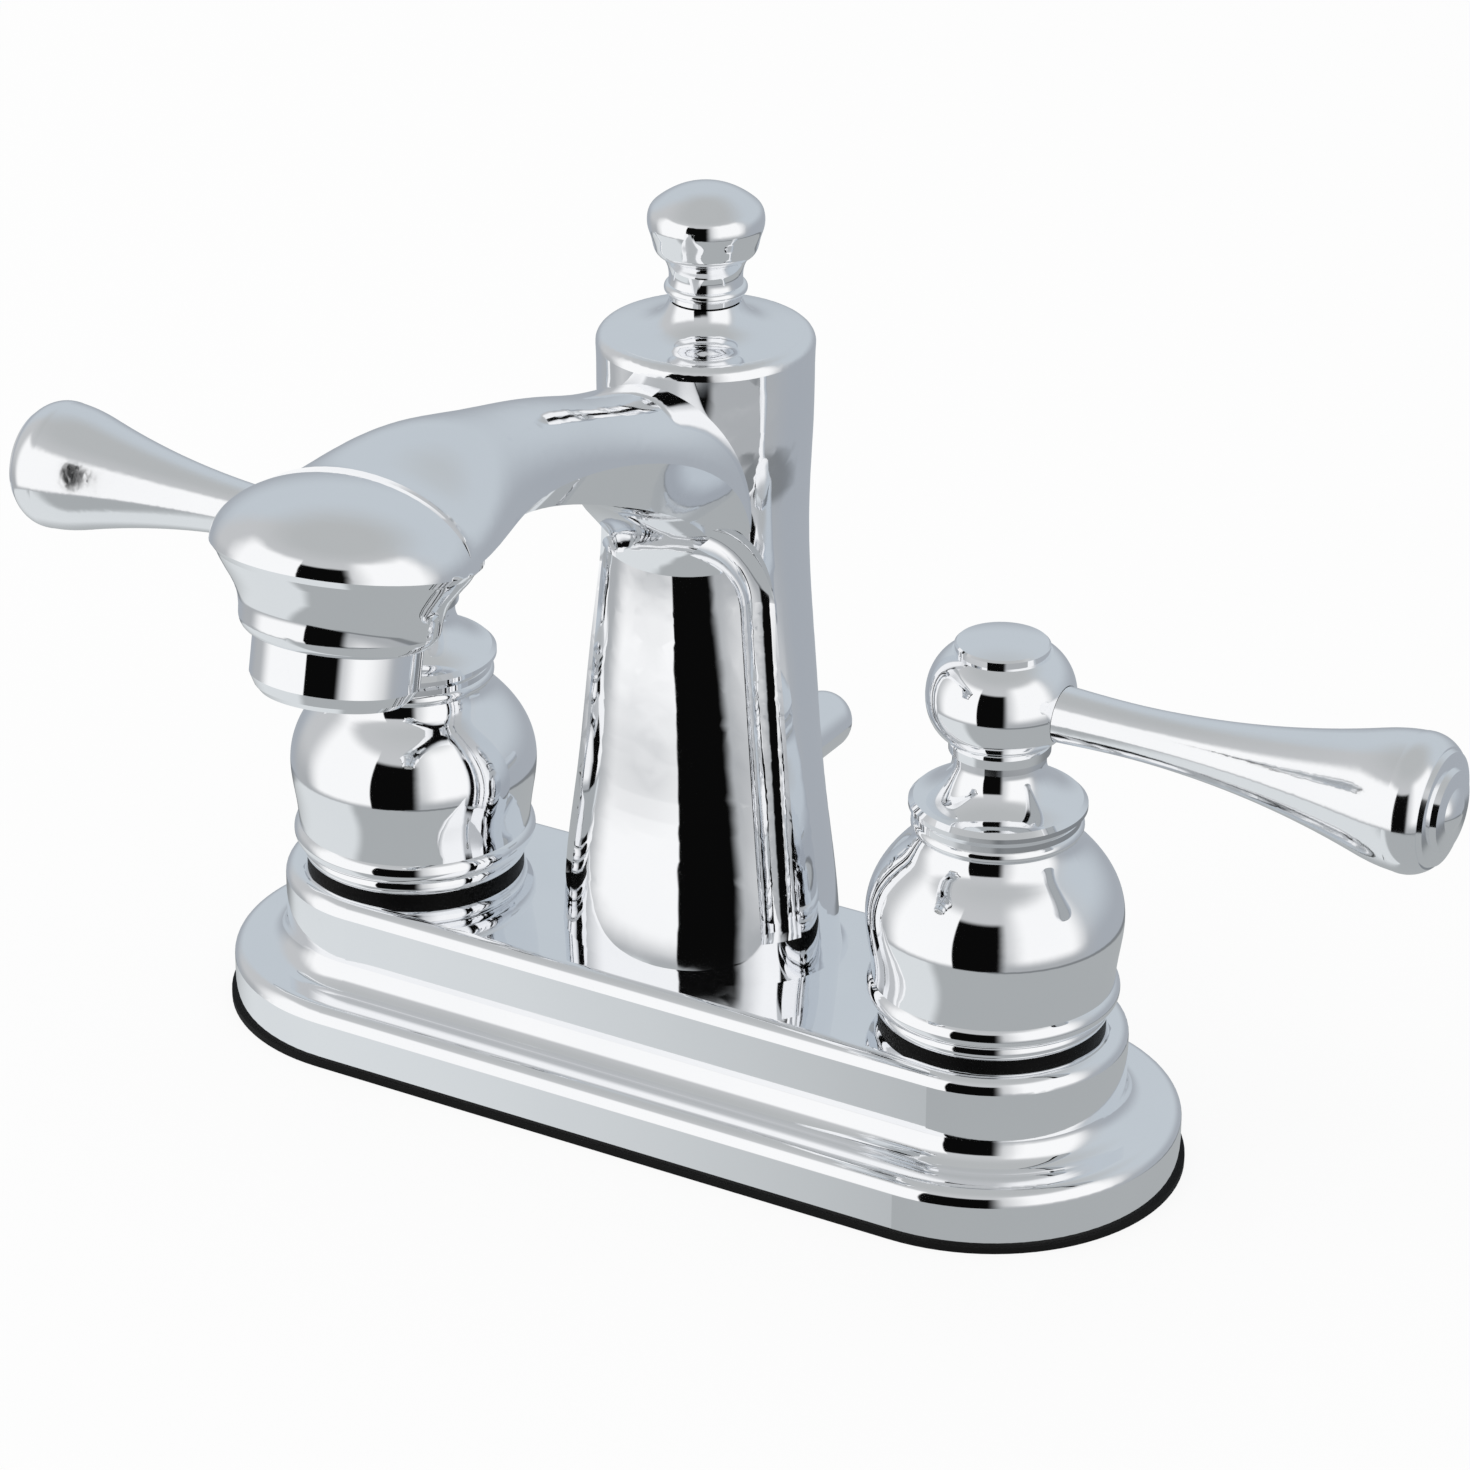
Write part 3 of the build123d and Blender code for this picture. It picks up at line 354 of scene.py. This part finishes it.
shankTree = threadTree(finishes["shank"])
for side in ("hot", "cold"):
    low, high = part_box(side + "_shank")
    shank = growPiece(side + "ThreadedShank", shankTree, {
        "Foot": low.z, "Length": high.z - low.z, "Axis": (low.x + high.x) / 2,
        **{name.capitalize(): value * millimetre for name, value in shankThread.items()},
    })
    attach(shank, "faucet_body")
    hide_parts(side + "_shank")
for side in ("hot", "cold"):
    for name in ("ThreadedShank", "_mounting_nut", "_mounting_washer"):
        bpy.data.objects[side + name].visible_glossy = False  # the deck hides them from the plating above
print("faucet: shanks threaded")


# The chrome reflects a dome. Its parts are placed by degrees: "turn" goes round it, from +X to +Y, and "height"
# goes up from the level. Four numbers are a band, from and to, with the width of the soft edge at either end.
tableEdge = -25.0  # degrees, where the table ends and the wall starts
studio = {
    "radius": 3.0,  # metres
    "rings": 24,
    "spokes": 48,
    "back": (0.39, 0.42, 0.46),  # blue-grey wall behind, low down
    "backHigh": (0.55, 0.60, 0.645),  # the same wall higher up
    "backRise": (-12, 22),
    "backTurn": (45, 150, 45, 25),
    "side": (0.42, 0.435, 0.45),  # the walls to either side of it
    "sideHigh": (0.56, 0.57, 0.58),
    "sideRise": (-22, 5),
    "ceiling": (0.48, 0.495, 0.50),
    "ceilingRise": (38, 72),
    "table": (0.72, 0.75, 0.765),  # lit by the left softbox
    "tableShade": (0.41, 0.43, 0.44),
    "shadeTurn": (-112, 120, 14, 60),
    "tableSoft": 2,
    "gap": (0.14, 0.15, 0.16),  # painted shade, a thin dark line where the table meets the wall
    "gapHeight": (tableEdge - 1.6, tableEdge - 0.4, 1.2, 1.2),
    "gapTurn": (-60, 140, 12, 30),
    "gapShare": 0.7,
}
panels = {  # two white softboxes and the black card between them
    "left": {"tone": (1.0, 1.0, 1.0), "turn": (-150, -98, 25, 1.5), "height": (tableEdge + 5, 35, 6, 11)},
    "right": {"tone": (1.0, 1.0, 1.0), "turn": (-32, 5, 26, 22), "height": (-8, 42, 14, 14)},
    "card": {"tone": (0.003, 0.003, 0.003), "turn": (-97, -60, 1.5, 10), "height": (tableEdge, 31, 1.5, 5)},
}


def domeMaterial():
    material, tree = newMaterial("studioLight")
    unit = addNode(tree, "ShaderNodeVectorMath", {"operation": "NORMALIZE"}, {0: objectPoint(tree)})
    parts = addNode(tree, "ShaderNodeSeparateXYZ", {}, {0: unit.outputs[0]})
    across, along, upward = (Wire(tree, socket) for socket in parts.outputs)
    turn = along.maths("ARCTAN2", across) * math.degrees(1)
    height = upward.maths("ARCSINE") * math.degrees(1)
    back = blendColour(tree, height.rise(*studio["backRise"]), studio["back"], studio["backHigh"])
    side = blendColour(tree, height.rise(*studio["sideRise"]), studio["side"], studio["sideHigh"])
    colour = blendColour(tree, turn.band(*studio["backTurn"]), side, back)
    for panel in panels.values():
        inside = turn.band(*panel["turn"]) * height.band(*panel["height"])
        colour = blendColour(tree, inside, colour, panel["tone"])
    colour = blendColour(tree, height.rise(*studio["ceilingRise"]), colour, studio["ceiling"])
    table = blendColour(tree, turn.band(*studio["shadeTurn"]), studio["table"], studio["tableShade"])
    colour = blendColour(tree, height.rise(tableEdge - studio["tableSoft"], tableEdge), table, colour)
    # painted shade along the line where the table meets the wall
    gap = height.band(*studio["gapHeight"]) * turn.band(*studio["gapTurn"])
    colour = blendColour(tree, gap * studio["gapShare"], colour, studio["gap"])
    lit = addNode(tree, "ShaderNodeEmission", {}, {"Color": colour, "Strength": 1.0})
    addNode(tree, "ShaderNodeOutputMaterial", {}, {"Surface": lit.outputs[0]})
    return material


def linkMesh(name, vertices, faces, material):
    mesh = bpy.data.meshes.new(name)
    mesh.from_pydata(vertices, [], faces)
    mesh.materials.append(material)
    made = bpy.data.objects.new(name, mesh)
    bpy.context.scene.collection.objects.link(made)
    return made


def studioDome():
    rings, spokes, radius = studio["rings"], studio["spokes"], studio["radius"]
    vertices = []
    for ring in range(rings + 1):
        lift = math.pi * (ring / rings - 0.5)
        reach, height = radius * math.cos(lift), radius * math.sin(lift)
        for spoke in range(spokes):
            turn = 2 * math.pi * spoke / spokes
            vertices.append((reach * math.cos(turn), reach * math.sin(turn), height))
    faces = [
        (ring * spokes + spoke, ring * spokes + (spoke + 1) % spokes,
         (ring + 1) * spokes + (spoke + 1) % spokes, (ring + 1) * spokes + spoke)
        for ring in range(rings) for spoke in range(spokes)
    ]
    dome = linkMesh("studioDome", vertices, faces, domeMaterial())
    dome.visible_camera = dome.visible_diffuse = dome.visible_shadow = False


floorLook = {
    "reach": 2.4,  # metres from the middle to each side
    "white": 0.88,  # share of plain white, the rest takes the shadow
    "tone": (0.9, 0.9, 0.9),
}


def paleFloorMaterial():
    # mostly plain white to the camera, with a faint shadow left in
    material, tree = newMaterial("paleFloor")
    path = addNode(tree, "ShaderNodeLightPath")
    seen = Wire(tree, path.outputs["Is Camera Ray"]) + Wire(tree, path.outputs["Is Glossy Ray"])
    seen = (seen + Wire(tree, path.outputs["Is Transmission Ray"])) * floorLook["white"]
    matt = addNode(tree, "ShaderNodeBsdfDiffuse", {}, {"Color": (*floorLook["tone"], 1)})
    white = addNode(tree, "ShaderNodeEmission", {}, {"Color": (1, 1, 1, 1), "Strength": 1.0})
    mixed = addNode(tree, "ShaderNodeMixShader", {}, {0: seen, 1: matt.outputs[0], 2: white.outputs[0]})
    addNode(tree, "ShaderNodeOutputMaterial", {}, {"Surface": mixed.outputs[0]})
    return material


def paleFloor():
    reach = floorLook["reach"]
    corners = [(-reach, -reach, 0), (reach, -reach, 0), (reach, reach, 0), (-reach, reach, 0)]
    floor = linkMesh("paleFloor", corners, [(0, 1, 2, 3)], paleFloorMaterial())
    floor.visible_glossy = False


lampSetup = {
    "world": 0.85,  # strength of the sky on the object
    "power": 6.0,
    "size": (1.2, 0.8),  # metres
    "place": (-0.9, -0.7, 1.4),
    "aim": (0, 0, 0.05),
}


def studioWorld():
    # plain white to the camera, a little weaker on the object
    world = bpy.data.worlds.new("studio")
    world.use_nodes = True
    tree = world.node_tree
    tree.nodes.clear()
    path = addNode(tree, "ShaderNodeLightPath")
    seen = Wire(tree, path.outputs["Is Camera Ray"]) + Wire(tree, path.outputs["Is Transmission Ray"])
    strength = seen * (1 - lampSetup["world"]) + lampSetup["world"]
    sky = addNode(tree, "ShaderNodeBackground", {}, {"Color": (1, 1, 1, 1), "Strength": strength})
    addNode(tree, "ShaderNodeOutputWorld", {}, {"Surface": sky.outputs[0]})
    bpy.context.scene.world = world


def keyLamp():
    lamp = bpy.data.lights.new("keyLamp", "AREA")
    lamp.shape = "RECTANGLE"
    lamp.size, lamp.size_y = lampSetup["size"]
    lamp.energy = lampSetup["power"]
    holder = bpy.data.objects.new("keyLamp", lamp)
    bpy.context.scene.collection.objects.link(holder)
    place = Vector(lampSetup["place"])
    turned = (Vector(lampSetup["aim"]) - place).to_track_quat("-Z", "Y")
    holder.matrix_world = Matrix.LocRotScale(place, turned, None)
    holder.visible_glossy = False


cameraPlace = {
    "place": (0.37692, -0.64209, 0.41999),  # metres
    "yaw": 29.973,  # degrees
    "pitch": 26.008,
    "roll": 0.338,
    "lens": 135.74,  # mm
    "sensor": 36.0,
    "clip": (0.02, 20.0),  # metres
}


def studioCamera():
    yaw, pitch, roll = (math.radians(cameraPlace[name]) for name in ("yaw", "pitch", "roll"))
    ahead = Vector((-math.sin(yaw) * math.cos(pitch), math.cos(yaw) * math.cos(pitch), -math.sin(pitch)))
    level = Vector((math.cos(yaw), math.sin(yaw), 0))
    above = level.cross(ahead)
    right = math.cos(roll) * level + math.sin(roll) * above
    upright = -math.sin(roll) * level + math.cos(roll) * above
    camera = bpy.data.cameras.new("studioCamera")
    camera.lens = cameraPlace["lens"]
    camera.sensor_width = cameraPlace["sensor"]
    camera.clip_start, camera.clip_end = cameraPlace["clip"]
    holder = bpy.data.objects.new("studioCamera", camera)
    bpy.context.scene.collection.objects.link(holder)
    turned = Matrix((right, upright, -ahead)).transposed().to_4x4()
    turned.translation = Vector(cameraPlace["place"])
    holder.matrix_world = turned
    bpy.context.scene.camera = holder


studioDome()
paleFloor()
studioWorld()
keyLamp()
studioCamera()
bpy.context.scene.view_settings.view_transform = "Standard"
print("faucet: studio ready")
